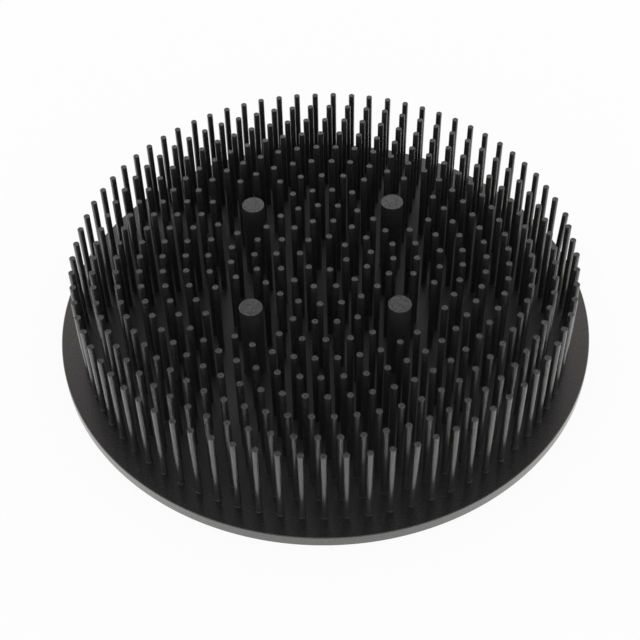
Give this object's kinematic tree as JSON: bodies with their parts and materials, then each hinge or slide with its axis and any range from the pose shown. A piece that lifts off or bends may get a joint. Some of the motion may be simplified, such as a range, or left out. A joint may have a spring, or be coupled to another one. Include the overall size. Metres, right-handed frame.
{
  "type": "pin fin heat sink",
  "caption": "Round one-piece heat sink: a flat disc carrying rings of thin straight pins and stouter mounting posts, black anodised.",
  "frame": {"origin": "centre of the flat underside of the base disc", "axes": "+Z along the pins, away from the underside; +X along the line of mirror symmetry of the pin pattern, with the posts on the diagonals between X and Y"},
  "size_m": [0.24, 0.24, 0.0465],
  "materials": {
    "anodised": "satin black anodised"
  },
  "bodies": {
    "root": {"heat_sink": "anodised"}
  },
  "joints": []
}
